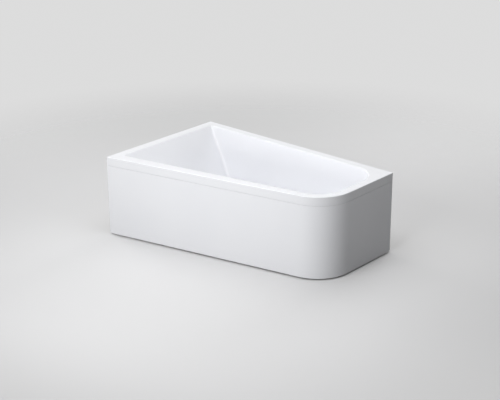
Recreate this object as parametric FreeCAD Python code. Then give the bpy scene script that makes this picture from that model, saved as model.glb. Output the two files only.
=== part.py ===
import FreeCAD, Part
import math
import os
from FreeCAD import Placement, Rotation, Vector

# Asymmetric acrylic bathtub with a one-piece panel, levelling feet, pop-up waste and overflow.
# Millimetres. Origin on the floor under the middle of the outline.
# +X runs along the back wall to the foot end, +Y to the back wall, +Z up.

# Outline of the tub, seen from above
LENGTH = 1600.0
WIDTH = 1000.0
FRONT_ANGLE = 12.2
FOOT_CORNER_RADIUS = 250.0
WALL_CORNER_RADIUS = 6.0

# Rim and lip
RIM_FRONT = 86.0
RIM_FOOT = 62.0
RIM_BACK = 62.0
RIM_HEAD = 62.0
FRONT_EDGE_TILT = 1.0
LIP_DROP = 58.0
ACRYLIC = 5.0
LAMINATE = 4.0
RIM_INNER_ROUND = 10.0
RIM_OUTER_ROUND = 4.0

# Basin
BASIN_DEPTH = 400.0
FRONT_LEAN = 7.0
FOOT_LEAN = 10.0
BACK_LEAN = 7.0
HEAD_LEAN = 32.0
HEAD_CORNER_TOP = 16.0
HEAD_CORNER_SPARE = 3.0
FOOT_WALL_FLAT = 225.0
FOOT_CORNER_TAPER = 0.8
FLOOR_ROUND = 22.0
FLOOR_FALL = 0.6

# Board, battens and rails
BOARD_DEPTH = 16.0
BOARD_MARGIN = 10.0
BOARD_DRAIN_GAP = 100.0
BATTEN_SETBACK = 20.0
BATTEN_WIDTH = 28.0
BATTEN_DEPTH = 22.0
BATTEN_END_GAP = 35.0
BATTEN_CORNER_GAP = 90.0
HEAD_RAIL_FROM_BOARD = 140.0
FOOT_RAIL_FROM_FOOT = 470.0
RAIL_BASE = 32.0
RAIL_FLANGE = 17.0
RAIL_HEIGHT = 40.0
RAIL_STEEL = 2.0
RAIL_FRONT_GAP = 50.0
SCREW_RADIUS = 2.25
SCREW_HEAD_RADIUS = 4.5
SCREW_HEAD = 2.5
SCREW_COVER = 3.0
CLIP_SCREW_BITE = 14.0
SCREW_FROM_FOOT = 60.0

# Levelling feet
FOOT_FROM_FRONT = 190.0
FOOT_FROM_BACK = 220.0
STUD_RADIUS = 5.0
STUD_PROUD = 19.0
STUD_SEAT = 4.0
PAD_RADIUS = 26.0
PAD_RIM = 5.0
PAD_HEIGHT = 14.0
PAD_NECK_RADIUS = 10.0
NUT_FLATS = 17.0
NUT_HEIGHT = 8.0
STUD_HOLE_GAP = 0.5

# Panel and what holds it
PANEL_GAP = 11.0
PANEL_THICK = 4.0
SEAM = 1.6
TONGUE_PLAY = 1.2
TONGUE_THICK = 3.0
TONGUE_RISE = 22.0
PANEL_FLANGE = 26.0
PANEL_RETURN = 28.0
CLIP_WIDTH = 40.0
CLIP_STEEL = 1.5
CLIP_LAP = 8.0
CLIP_REACH = 32.0
CLIP_SPACING = 500.0
FIRST_CLIP = 250.0
CLIP_FOOT_OFFSET = 90.0
HOOK_WIDTH = 30.0
HOOK_STEEL = 3.0
HOOK_TIP_GAP = 11.0
HOOK_TOE = 24.0
HOOK_LAP = 50.0
STAY_FROM_DRAIN = 100.0
BOLT_RADIUS = 3.0
BOLT_FLATS = 10.0
BOLT_HEAD = 4.0
BOLT_NUT = 5.0
BOLT_PROUD = 1.0

# Wall hangers
HANGER_WIDTH = 60.0
HANGER_DROP = 75.0
HANGER_STEEL = 2.5
HANGER_PLAY = 0.3
HANGER_HOOK = 24.0
HANGER_HOLE_RADIUS = 3.25
HANGER_HOLE_SPACING = 36.0
HANGER_HOLE_DROP = 48.0
BACK_HANGER_FROM_END = 360.0
HEAD_HANGER_FROM_BACK = 610.0

# Waste in the floor
DRAIN_FROM_FOOT = 255.0
DRAIN_FLANGE_RADIUS = 35.0
DRAIN_FLANGE_THICK = 3.0
DRAIN_RECESS = 3.5
DRAIN_RECESS_GAP = 2.0
DRAIN_BOSS_WALL = 9.0
DRAIN_BOSS_PROUD = 1.0
DRAIN_TAIL_RADIUS = 24.0
DRAIN_TAIL_WALL = 3.0
DRAIN_TAIL = 32.0
DRAIN_HOLE_GAP = 2.0
FLANGE_SEAL = 1.0
GASKET = 3.0
WASTE_WALL = 3.0
CUP_HEIGHT = 50.0
CUP_COLLAR = 15.0
CUP_LEDGE = 4.0
CUP_FLANGE = 5.0
PIPE_SOCKET = 18.0
SOCKET_REACH = 22.0
INLET_RISE = 18.0
GUIDE_DROP = 22.0
GUIDE_THICK = 4.0
GUIDE_HUB_RADIUS = 7.0
GUIDE_ARM = 4.0

# Pop-up plug, rocker and knob travel
PLUG_RADIUS = 30.0
PLUG_CROWN = 4.0
PLUG_RIM = 2.0
PLUG_GAP = 0.4
PLUG_SEAL_HEIGHT = 5.0
PLUG_SEAL_WIDTH = 7.0
PLUG_SEAL_GAP = 0.3
PLUG_LIFT = 11.0
STEM_RADIUS = 3.0
LEVER_ARM = 20.0
LEVER_TIP_RADIUS = 3.0
LEVER_HUB_RADIUS = 5.0
LEVER_WIDTH = 8.0
LEVER_THICK = 3.0
LEVER_PIN_RADIUS = 2.0
TAIL_LENGTH = 13.0
TAIL_WIDTH = 16.0
TAIL_THICK = 6.5
CRANK_LENGTH = 4.0
CRANK_WIDTH = 6.0
ROCKER_GAP = 3.0
ROCKER_FLOOR_GAP = 2.0
RUNNING_GAP = 0.05

# Trap and outlet
TRAP_PIPE_RADIUS = 20.0
TRAP_PIPE_WALL = 2.5
TRAP_SPOUT = 22.0
TRAP_SOCKET = 12.0
TRAP_LEG = 6.0
TRAP_FLOOR_GAP = 12.0
TRAP_PIPE_GAP = 4.0
UNION_GAP = 3.8
UNION_NUT_WALL = 4.0
UNION_NUT_LIP = 3.0
UNION_NUT_SKIRT = 2.0
UNION_RIBS = 12
UNION_RIB = 1.2
ELBOW_GAP = 1.0
OUTLET_SETBACK = 60.0
OUTLET_SPIGOT = 52.0
OUTLET_COLLAR = 4.0

# Overflow in the foot wall
OVERFLOW_FLANGE_RADIUS = 36.0
OVERFLOW_FLANGE_THICK = 3.0
OVERFLOW_TAIL_RADIUS = 25.0
OVERFLOW_TAIL_WALL = 3.0
OVERFLOW_THREAD = 10.0
OVERFLOW_HOLE_GAP = 1.0
OVERFLOW_BODY_RADIUS = 34.0
OVERFLOW_BODY_FLANGE_RADIUS = 40.0
OVERFLOW_BODY_FLANGE = 4.0
OVERFLOW_BODY_DEPTH = 40.0
OVERFLOW_SPOUT = 30.0
SPINDLE_RADIUS = 5.0
SPINDLE_END = 3.0
BEARING_LENGTH = 9.0
BEARING_WALL = 4.0
CAM_RADIUS = 16.0
CAM_THICK = 5.0
KNOB_RADIUS = 33.0
KNOB_THICK = 12.0
KNOB_GAP = 5.0
KNOB_WALL = 3.0
KNOB_ROUND = 3.0
KNOB_HUB_RADIUS = 9.0
GRIP_WIDTH = 12.0
GRIP_RISE = 9.0
GRIP_ROUND = 2.5

# Overflow pipe and control cable
PIPE_RADIUS = 12.5
PIPE_WALL = 1.5
PIPE_BEND_RADIUS = 45.0
CABLE_RADIUS = 2.5
CABLE_GLAND_RADIUS = 5.0
CABLE_GLAND = 16.0
CABLE_GAP = 2.0
CLIP_BAND = 10.0
CLIP_BAND_WALL = 1.2
CLIP_SHARES = (0.3, 0.75)

# Small values for cutting and sharp corners
SHARP_RADIUS = 1.0
OVERSHOOT = 20.0


def tan(degrees):
    return math.tan(math.radians(degrees))


def cos(degrees):
    return math.cos(math.radians(degrees))


def sin(degrees):
    return math.sin(math.radians(degrees))


# Levels and places worked out from the driving sizes
SIDES = ("front", "foot", "back", "head")
CABLE_OFFSET = PIPE_RADIUS + WASTE_WALL + CABLE_GAP + CABLE_RADIUS
CRANK_EDGE = CABLE_OFFSET + CRANK_WIDTH / 2
CUP_ROOM = max(math.hypot(LEVER_ARM + LEVER_HUB_RADIUS, CRANK_EDGE),
               math.hypot(LEVER_ARM + TAIL_LENGTH, TAIL_WIDTH / 2)) + ROCKER_GAP
CUP_RADIUS = CUP_ROOM + WASTE_WALL
CUP_FLANGE_RADIUS = CUP_RADIUS + CUP_LEDGE
SOCKET_RADIUS = TRAP_PIPE_RADIUS + WASTE_WALL
UNION_NUT_RADIUS = SOCKET_RADIUS + UNION_NUT_WALL
TRAP_BEND_RADIUS = max(UNION_NUT_RADIUS + UNION_RIB + UNION_GAP,
                       (CUP_RADIUS + TRAP_PIPE_RADIUS + TRAP_PIPE_GAP) / 2)
TRAP_HEIGHT = TRAP_PIPE_RADIUS + TRAP_BEND_RADIUS + TRAP_LEG + TRAP_SPOUT
SKIN = ACRYLIC + LAMINATE
FLOOR_Z = TRAP_FLOOR_GAP + TRAP_HEIGHT + CUP_HEIGHT + GASKET + DRAIN_BOSS_PROUD + SKIN
HEIGHT = FLOOR_Z + BASIN_DEPTH
HEAD_CORNER_LOW = FLOOR_ROUND + HEAD_CORNER_SPARE
RIM = {"front": RIM_FRONT, "foot": RIM_FOOT, "back": RIM_BACK, "head": RIM_HEAD}
LEAN = {"front": FRONT_LEAN, "foot": FOOT_LEAN, "back": BACK_LEAN, "head": HEAD_LEAN}
OUTER_RADII = (WALL_CORNER_RADIUS, FOOT_CORNER_RADIUS, WALL_CORNER_RADIUS, WALL_CORNER_RADIUS)
LIP_BOTTOM = HEIGHT - LIP_DROP
RIM_UNDER = HEIGHT - ACRYLIC
SHELL_TOP = HEIGHT - ACRYLIC / 2
DRAIN_X = LENGTH / 2 - DRAIN_FROM_FOOT
FRONT_START = -WIDTH / 2 - WALL_CORNER_RADIUS * ((1 + sin(FRONT_ANGLE)) / cos(FRONT_ANGLE) - 1)
UP = Vector(0, 0, 1)


def side_line(side, inset, tilt=0.0):
    """Point and direction of one side of the outline, moved inwards by inset; the front may be tilted."""
    if side == "front":
        point = Vector(-LENGTH / 2, FRONT_START, 0)
        along = Vector(cos(FRONT_ANGLE - tilt), sin(FRONT_ANGLE - tilt), 0)
    elif side == "foot":
        point = Vector(LENGTH / 2, 0, 0)
        along = Vector(0, 1, 0)
    elif side == "back":
        point = Vector(0, WIDTH / 2, 0)
        along = Vector(-1, 0, 0)
    else:
        point = Vector(-LENGTH / 2, 0, 0)
        along = Vector(0, -1, 0)
    inward = Vector(-along.y, along.x, 0)
    return point + inward * inset, along


def meet(first, second):
    """Point where two lines of the plan cross."""
    point, along = first
    other, across = second
    gap = other - point
    share = (gap.x * across.y - gap.y * across.x) / (along.x * across.y - along.y * across.x)
    return point + along * share


def corners_of(lines):
    """Corner before each line of a closed outline."""
    return [meet(lines[index - 1], lines[index]) for index in range(len(lines))]


def rounded_outline(corners, radii, z):
    """Closed wire at height z through the corners, each rounded by its own radius."""
    entries = []
    exits = []
    middles = []
    count = len(corners)
    for index, corner in enumerate(corners):
        before = (corners[index - 1] - corner).normalize()
        after = (corners[(index + 1) % count] - corner).normalize()
        half = before.getAngle(after) / 2
        radius = radii[index]
        inward = (before + after).normalize()
        level = Vector(0, 0, z)
        entries.append(corner + before * (radius / math.tan(half)) + level)
        exits.append(corner + after * (radius / math.tan(half)) + level)
        middles.append(corner + inward * (radius / math.sin(half) - radius) + level)
    edges = []
    for index in range(count):
        ahead = (index + 1) % count
        edges.append(Part.LineSegment(exits[index], entries[ahead]).toShape())
        edges.append(Part.Arc(entries[ahead], middles[ahead], exits[ahead]).toShape())
    return Part.Wire(edges)


def rim_outline(inset, z):
    """Outer outline of the tub at height z, moved inwards by inset."""
    lines = [side_line(side, inset) for side in SIDES]
    radii = [max(radius - inset, SHARP_RADIUS) for radius in OUTER_RADII]
    return rounded_outline(corners_of(lines), radii, z)


def basin_inset(side, z, skin):
    """Distance from the outer outline to the basin wall at height z."""
    return RIM[side] + (HEIGHT - z) * tan(LEAN[side]) - skin / cos(LEAN[side])


def foot_corner_radius():
    """Radius of the basin's two foot corners at the rim, which leaves the foot wall its flat width."""
    foot = side_line("foot", RIM_FOOT)
    front = meet(side_line("front", RIM_FRONT, FRONT_EDGE_TILT), foot)
    back = meet(foot, side_line("back", RIM_BACK))
    reaches = 1 / tan((90 + FRONT_ANGLE - FRONT_EDGE_TILT) / 2) + 1
    return (front.distanceToPoint(back) - FOOT_WALL_FLAT) / reaches


FOOT_CORNER_TOP = foot_corner_radius()
FOOT_CORNER_LOW = FLOOR_ROUND + (FOOT_CORNER_TOP - FLOOR_ROUND) * FOOT_CORNER_TAPER
TOP_RADII = (HEAD_CORNER_TOP, FOOT_CORNER_TOP, FOOT_CORNER_TOP, HEAD_CORNER_TOP)
LOW_RADII = (HEAD_CORNER_LOW, FOOT_CORNER_LOW, FOOT_CORNER_LOW, HEAD_CORNER_LOW)


def basin_outline(z, skin):
    """Outline of the basin at height z, grown outwards by a skin thickness."""
    lines = [side_line(side, basin_inset(side, z, skin), FRONT_EDGE_TILT) for side in SIDES]
    share = (HEIGHT - z) / BASIN_DEPTH
    radii = []
    for top, low in zip(TOP_RADII, LOW_RADII):
        radii.append(max(top + (low - top) * share + skin, SHARP_RADIUS))
    return rounded_outline(corners_of(lines), radii, z)


def prism(wire, height):
    """Straight solid on a flat outline."""
    return Part.Face(wire).extrude(UP * height)


def ring(outer_inset, inner_inset, low, high):
    """Wall that follows the outer outline between two insets."""
    outside = prism(rim_outline(outer_inset, low), high - low)
    return outside.cut(prism(rim_outline(inner_inset, low), high - low))


def box(low, high):
    """Box between two corners."""
    size = high - low
    return Part.makeBox(size.x, size.y, size.z, low)


def rod(radius, start, end):
    """Round bar from one point to another."""
    return Part.makeCylinder(radius, start.distanceToPoint(end), start, end - start)


def tube(radius, bore, start, end):
    """Round tube from one point to another."""
    return rod(radius, start, end).cut(rod(bore, start, end))


def hexagon(flats, height, centre):
    """Six-sided bar standing on its centre point."""
    points = []
    for index in range(7):
        turn = 60 * index
        reach = flats / 2 / cos(30)
        points.append(centre + Vector(reach * cos(turn), reach * sin(turn), 0))
    return prism(Part.makePolygon(points), height)


def union(shapes):
    """One solid from several that meet."""
    return shapes[0].fuse(shapes[1:]).removeSplitter()


def section(points, thickness):
    """Bar whose section in the X-Z plane is a list of (x, z) points, centred on Y."""
    corners = [Vector(x, -thickness / 2, z) for x, z in points]
    wire = Part.makePolygon(corners + corners[:1])
    return Part.Face(wire).extrude(Vector(0, thickness, 0))


def placed(shape, placement):
    """Copy of a shape moved from its own frame to a place."""
    moved = shape.copy()
    moved.Placement = placement.multiply(moved.Placement)
    return moved


def save(name, shape):
    """Write one node."""
    shape.exportStep(os.path.join("parts", name + ".step"))


# Straight sides as local frames: X along the side, Y inwards, Z up, origin at the side's first corner
OUTER_CORNERS = corners_of([side_line(side, 0.0) for side in SIDES])
SIDE_HEADING = {side: side_line(side, 0.0)[1] for side in SIDES}
SIDE_START = dict(zip(SIDES, OUTER_CORNERS))
FOOT_CORNER_REACH = FOOT_CORNER_RADIUS / tan((90 + FRONT_ANGLE) / 2)
FRONT_STRAIGHT = LENGTH / cos(FRONT_ANGLE) - FOOT_CORNER_REACH
FOOT_SIDE = WIDTH / 2 - SIDE_START["foot"].y


def side_place(side, along):
    """Local frame on a side of the outline, a distance along from its first corner."""
    heading = SIDE_HEADING[side]
    turn = Rotation(UP, math.degrees(math.atan2(heading.y, heading.x)))
    return Placement(SIDE_START[side] + turn.multVec(Vector(along, 0, 0)), turn)


def front_y(x, inset, tilt=0.0):
    """Y of the front line, moved inwards by inset and tilted, at a given x."""
    point, along = side_line("front", inset, tilt)
    return point.y + (x - point.x) * along.y / along.x


DRAIN_Y = (front_y(DRAIN_X, basin_inset("front", FLOOR_Z, 0.0), FRONT_EDGE_TILT)
           + WIDTH / 2 - basin_inset("back", FLOOR_Z, 0.0)) / 2


# Basin shells
def above_floor(skin):
    """Everything above the sloping basin floor, lowered by a skin thickness."""
    block = Part.makeBox(4 * LENGTH, 4 * WIDTH, 4 * HEIGHT, Vector(-2 * LENGTH, -2 * WIDTH, 0))
    block.rotate(Vector(0, 0, 0), Vector(0, 1, 0), FLOOR_FALL)
    block.translate(Vector(DRAIN_X, 0, FLOOR_Z - skin))
    return block


def floor_level(x, skin):
    """Height of the sloping floor at x, lowered by a skin thickness."""
    return FLOOR_Z - skin - (x - DRAIN_X) * tan(FLOOR_FALL)


def basin(skin, top):
    """Solid that fills the basin up to a level, grown outwards by a skin thickness."""
    low = FLOOR_Z - SKIN - OVERSHOOT
    walls = Part.makeLoft([basin_outline(low, skin), basin_outline(top, skin)], True, True)
    solid = walls.common(above_floor(skin)).Solids[0]
    floor = min(solid.Faces, key=lambda face: face.CenterOfMass.z)
    return solid.makeFillet(FLOOR_ROUND + skin, floor.Edges)


# Overflow frame: X across, Y up the foot wall, Z out of the basin through the wall
OVERFLOW_Z = LIP_BOTTOM - OVERFLOW_BODY_RADIUS
OVERFLOW_AXIS = Vector(cos(FOOT_LEAN), 0, -sin(FOOT_LEAN))
OVERFLOW_ORIGIN = Vector(LENGTH / 2 - basin_inset("foot", OVERFLOW_Z, 0.0), DRAIN_Y, OVERFLOW_Z)
OVERFLOW_TURN = Rotation(Vector(0, 1, 0), Vector(sin(FOOT_LEAN), 0, cos(FOOT_LEAN)), OVERFLOW_AXIS, "ZXY")
OVERFLOW_PLACE = Placement(OVERFLOW_ORIGIN, OVERFLOW_TURN)
OVERFLOW_BACK = SKIN + GASKET + OVERFLOW_BODY_DEPTH
OVERFLOW_SPOUT_Z = SKIN + GASKET + OVERFLOW_BODY_DEPTH / 2
GLAND_DROP = math.sqrt(OVERFLOW_BODY_RADIUS ** 2 - CABLE_OFFSET ** 2) + CABLE_GLAND
OVERFLOW_HOLE = OVERFLOW_TAIL_RADIUS + OVERFLOW_HOLE_GAP


def overflow_hole():
    """Bar that cuts the overflow hole through the foot wall."""
    bar = rod(OVERFLOW_HOLE, Vector(0, 0, -OVERSHOOT), Vector(0, 0, SKIN + OVERSHOOT))
    return placed(bar, OVERFLOW_PLACE)


# Drain levels, all on the drain's own upright axis
SEAT_Z = FLOOR_Z - DRAIN_RECESS
BOSS_Z = FLOOR_Z - SKIN - DRAIN_BOSS_PROUD
BOSS_RADIUS = DRAIN_FLANGE_RADIUS + DRAIN_RECESS_GAP + DRAIN_BOSS_WALL
DRAIN_HOLE = DRAIN_TAIL_RADIUS + DRAIN_HOLE_GAP
CUP_TOP = BOSS_Z - GASKET
CUP_LOW = CUP_TOP - CUP_HEIGHT
INLET_Z = CUP_LOW + INLET_RISE
FLANGE_TOP = SEAT_Z + FLANGE_SEAL + DRAIN_FLANGE_THICK
FLANGE_BORE = DRAIN_TAIL_RADIUS - DRAIN_TAIL_WALL
LEVER_Z = CUP_LOW + WASTE_WALL + ROCKER_FLOOR_GAP + CRANK_LENGTH + LEVER_HUB_RADIUS
INLET_STOP = CUP_RADIUS + SOCKET_REACH - PIPE_SOCKET
CABLE_Z = INLET_Z - CABLE_GLAND_RADIUS
GLAND_END = math.sqrt(CUP_RADIUS ** 2 - CABLE_OFFSET ** 2) + CABLE_GLAND
LEVER_SWING = math.degrees(math.asin(PLUG_LIFT / 2 / LEVER_ARM))


def drain(z, x=0.0, y=0.0):
    """Point measured from the drain's axis."""
    return Vector(DRAIN_X + x, DRAIN_Y + y, z)


def drain_boss():
    """Thicker seat under the drain."""
    return rod(BOSS_RADIUS, drain(BOSS_Z), drain(SEAT_Z))


def make_tub_shell():
    block = prism(rim_outline(0.0, LIP_BOTTOM), LIP_DROP)
    hollow = prism(rim_outline(ACRYLIC, LIP_BOTTOM), LIP_DROP - ACRYLIC)
    outside = block.cut(hollow).fuse([basin(ACRYLIC, SHELL_TOP), drain_boss()])
    shell = outside.cut(basin(0.0, HEIGHT + OVERSHOOT))
    recess = rod(DRAIN_FLANGE_RADIUS + DRAIN_RECESS_GAP, drain(SEAT_Z), drain(FLOOR_Z + OVERSHOOT))
    hole = rod(DRAIN_HOLE, drain(BOSS_Z - OVERSHOOT), drain(FLOOR_Z + OVERSHOOT))
    shell = shell.cut([recess, hole, overflow_hole()]).removeSplitter()
    top = max(shell.Faces, key=lambda face: face.CenterOfMass.z)
    outer = top.OuterWire
    inner = [wire for wire in top.Wires if not wire.isSame(outer)]
    shell = shell.makeFillet(RIM_INNER_ROUND, inner[0].Edges)
    top = max(shell.Faces, key=lambda face: face.CenterOfMass.z)
    return shell.makeFillet(RIM_OUTER_ROUND, top.OuterWire.Edges)


def make_backing():
    backing = basin(SKIN, RIM_UNDER).cut(basin(ACRYLIC, SHELL_TOP))
    seat = rod(BOSS_RADIUS, drain(BOSS_Z - OVERSHOOT), drain(SEAT_Z))
    return backing.cut([seat, overflow_hole()])


# Rails, with their feet and fasteners
BOARD_INSET = FLOOR_ROUND + SKIN + BOARD_MARGIN
BOARD_BACK = WIDTH / 2 - basin_inset("back", FLOOR_Z, -BOARD_INSET)
BOARD_HEAD = -LENGTH / 2 + basin_inset("head", FLOOR_Z, -BOARD_INSET)
RAIL_X = {"head": BOARD_HEAD + HEAD_RAIL_FROM_BOARD, "foot": LENGTH / 2 - FOOT_RAIL_FROM_FOOT}
FOOT_NAMES = ("front", "back")


def rail_top(end):
    """Level of a rail's flanges, under the lowest edge of the board above it."""
    return floor_level(RAIL_X[end] + RAIL_BASE / 2 + RAIL_FLANGE, SKIN + BOARD_DEPTH)


def web_low(end):
    return rail_top(end) - RAIL_HEIGHT


def web_top(end):
    return web_low(end) + RAIL_STEEL


def foot_point(end, name, z):
    """Point on the axis of one levelling foot."""
    x = RAIL_X[end]
    y = front_y(x, 0.0) + FOOT_FROM_FRONT if name == "front" else WIDTH / 2 - FOOT_FROM_BACK
    return Vector(x, y, z)


def rail_screw_set(end):
    """Screws through both flanges of one rail into the board."""
    screws = []
    top = rail_top(end)
    under = top - RAIL_STEEL
    for name, inward in (("front", SCREW_FROM_FOOT), ("back", -SCREW_FROM_FOOT)):
        for side in (-1, 1):
            spot = foot_point(end, name, under)
            spot += Vector(side * (RAIL_BASE + RAIL_FLANGE) / 2, inward, 0)
            shank = rod(SCREW_RADIUS, spot, spot + UP * (RAIL_STEEL + BOARD_DEPTH - SCREW_COVER))
            head = rod(SCREW_HEAD_RADIUS, spot - UP * SCREW_HEAD, spot)
            screws.append(union([shank, head]))
    return screws


def make_board():
    low = FLOOR_Z - SKIN - BOARD_DEPTH - OVERSHOOT
    slab = above_floor(SKIN + BOARD_DEPTH).cut(above_floor(SKIN))
    plan = prism(basin_outline(FLOOR_Z, -BOARD_INSET).translated(Vector(0, 0, low - FLOOR_Z)), HEIGHT)
    beyond = box(Vector(DRAIN_X - BOARD_DRAIN_GAP, -WIDTH, 0), Vector(LENGTH, WIDTH, HEIGHT))
    board = plan.cut(beyond).common(slab)
    return board.cut(rail_screw_set("head") + rail_screw_set("foot")).Solids[0]


def rail_front(end):
    """Front end of a rail, a named gap behind the panel's outer face."""
    return front_y(RAIL_X[end], 0.0) + RAIL_FRONT_GAP


def hook_bolt_spot(name):
    """Point under the web where a hook or the stay is bolted on."""
    if name == "stay":
        return Vector(RAIL_X["foot"], DRAIN_Y - STAY_FROM_DRAIN, web_low("foot") - HOOK_STEEL)
    y = rail_front(name) + HOOK_LAP / 2
    return Vector(RAIL_X[name], y, web_low(name) - HOOK_STEEL)


def hook_bolt_shank(name):
    spot = hook_bolt_spot(name)
    length = HOOK_STEEL + RAIL_STEEL + BOLT_NUT + BOLT_PROUD
    return rod(BOLT_RADIUS, spot, spot + UP * length)


def make_rail(end):
    half = RAIL_BASE / 2
    wide = half + RAIL_FLANGE
    top = RAIL_HEIGHT
    steel = RAIL_STEEL
    points = [(-half, 0), (half, 0), (half, top - steel), (wide, top - steel), (wide, top),
              (half - steel, top), (half - steel, steel), (steel - half, steel), (steel - half, top),
              (-wide, top), (-wide, top - steel), (-half, top - steel)]
    front = rail_front(end)
    bar = section(points, BOARD_BACK - front)
    bar.translate(Vector(RAIL_X[end], (BOARD_BACK + front) / 2, web_low(end)))
    cuts = rail_screw_set(end) + [hook_bolt_shank(end)]
    if end == "foot":
        cuts.append(hook_bolt_shank("stay"))
    for name in FOOT_NAMES:
        spot = foot_point(end, name, web_low(end) - OVERSHOOT)
        cuts.append(rod(STUD_RADIUS + STUD_HOLE_GAP, spot, spot + UP * RAIL_HEIGHT))
    return bar.cut(cuts)


def foot_nut(end, name, low):
    """Hexagon nut round one foot stud."""
    spot = foot_point(end, name, low)
    bore = rod(STUD_RADIUS + RUNNING_GAP, spot, spot + UP * NUT_HEIGHT)
    return hexagon(NUT_FLATS, NUT_HEIGHT, spot).cut(bore)


def make_stud(end, name):
    low = foot_point(end, name, STUD_SEAT)
    high = foot_point(end, name, web_top(end) + NUT_HEIGHT + STUD_PROUD)
    return rod(STUD_RADIUS, low, high)


def make_pad(end, name):
    disc = rod(PAD_RADIUS, Vector(0, 0, 0), Vector(0, 0, PAD_RIM))
    cone = Part.makeCone(PAD_RADIUS, PAD_NECK_RADIUS, PAD_HEIGHT - PAD_RIM, Vector(0, 0, PAD_RIM))
    seat = rod(STUD_RADIUS, Vector(0, 0, STUD_SEAT), Vector(0, 0, PAD_HEIGHT))
    pad = union([disc, cone]).cut(seat)
    pad.translate(foot_point(end, name, 0))
    return pad


# Rim battens
def side_box(side, start, end, near, far, low, high):
    """Box in a side's local frame."""
    return placed(box(Vector(start, near, low), Vector(end, far, high)), side_place(side, 0.0))


def batten(side, start, end):
    far = BATTEN_SETBACK + BATTEN_WIDTH
    return side_box(side, start, end, BATTEN_SETBACK, far, RIM_UNDER - BATTEN_DEPTH, RIM_UNDER)


# Panel and its fixings
PANEL_TOP = LIP_BOTTOM - SEAM
TONGUE_INSET = ACRYLIC + TONGUE_PLAY
TONGUE_BACK = TONGUE_INSET + TONGUE_THICK


def make_panel():
    wall = ring(0.0, PANEL_THICK, PANEL_GAP, PANEL_TOP)
    flange = ring(0.0, PANEL_FLANGE, PANEL_GAP, PANEL_GAP + PANEL_THICK)
    shelf = ring(0.0, TONGUE_BACK, PANEL_TOP - PANEL_THICK, PANEL_TOP)
    tongue = ring(TONGUE_INSET, TONGUE_BACK, PANEL_TOP - PANEL_THICK, PANEL_TOP + TONGUE_RISE)
    whole = union([wall, flange, shelf, tongue])
    keep = max(PANEL_FLANGE, TONGUE_BACK) + OVERSHOOT
    back = box(Vector(-LENGTH, WIDTH / 2 - keep, 0), Vector(LENGTH / 2 - PANEL_RETURN, WIDTH, HEIGHT))
    head = box(Vector(-LENGTH, PANEL_RETURN - WIDTH / 2, 0), Vector(keep - LENGTH / 2, WIDTH, HEIGHT))
    return whole.cut([back, head]).Solids[0]


def clip_places():
    """Local frames of the panel clips: along the front, and one at the foot."""
    count = int((FRONT_STRAIGHT - FIRST_CLIP) // CLIP_SPACING) + 1
    places = [side_place("front", FIRST_CLIP + CLIP_SPACING * index) for index in range(count)]
    places.append(side_place("foot", (FOOT_CORNER_REACH + FOOT_SIDE) / 2 + CLIP_FOOT_OFFSET))
    return places


def clip_screw():
    """Screw from under a clip into the batten, in the clip's local frame."""
    under = RIM_UNDER - BATTEN_DEPTH - CLIP_STEEL
    spot = Vector(0, BATTEN_SETBACK + BATTEN_WIDTH / 2, under)
    shank = rod(SCREW_RADIUS, spot, spot + UP * (CLIP_STEEL + CLIP_SCREW_BITE))
    head = rod(SCREW_HEAD_RADIUS, spot - UP * SCREW_HEAD, spot)
    return union([shank, head])


def make_clip():
    """Bent strip under the batten whose leg backs the panel's tongue."""
    half = CLIP_WIDTH / 2
    high = RIM_UNDER - BATTEN_DEPTH
    far = BATTEN_SETBACK + CLIP_REACH - CLIP_STEEL
    plate = box(Vector(-half, TONGUE_BACK, high - CLIP_STEEL), Vector(half, far, high))
    low = PANEL_TOP - PANEL_THICK - CLIP_LAP
    leg = box(Vector(-half, TONGUE_BACK, low), Vector(half, TONGUE_BACK + CLIP_STEEL, high))
    return union([plate, leg]).cut(clip_screw())


def hook_strip(reach, lap, drop):
    """Strip bolted under a web: lap under the web, out by reach, down by drop, toe outwards."""
    steel = HOOK_STEEL
    heel = reach - HOOK_TOE
    points = [(-lap, 0), (heel, 0), (heel, steel - drop), (reach, steel - drop), (reach, -drop),
              (heel - steel, -drop), (heel - steel, -steel), (-lap, -steel)]
    return section(points, HOOK_WIDTH)


def make_hook(end):
    """Hook from a rail's front end to the panel's lower flange."""
    drop = web_low(end) - PANEL_GAP - PANEL_THICK
    strip = hook_strip(RAIL_FRONT_GAP - HOOK_TIP_GAP, HOOK_LAP, drop)
    turn = Rotation(UP, -90)
    spot = Vector(RAIL_X[end], rail_front(end), web_low(end))
    return placed(strip, Placement(spot, turn)).cut(hook_bolt_shank(end))


def make_stay():
    """Long strip from the foot rail to the panel's lower flange at the foot end."""
    drop = web_low("foot") - PANEL_GAP - PANEL_THICK
    strip = hook_strip(LENGTH / 2 - HOOK_TIP_GAP - RAIL_X["foot"], RAIL_BASE / 2, drop)
    strip.translate(hook_bolt_spot("stay") + UP * HOOK_STEEL)
    return strip.cut(hook_bolt_shank("stay"))


def hook_bolt(name):
    """Bolt with its head under the strip, and its nut on the web."""
    spot = hook_bolt_spot(name)
    head = hexagon(BOLT_FLATS, BOLT_HEAD, spot - UP * BOLT_HEAD)
    shank = hook_bolt_shank(name)
    nut = hexagon(BOLT_FLATS, BOLT_NUT, spot + UP * (HOOK_STEEL + RAIL_STEEL))
    return [union([head, shank]), nut.cut(shank)]


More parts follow.
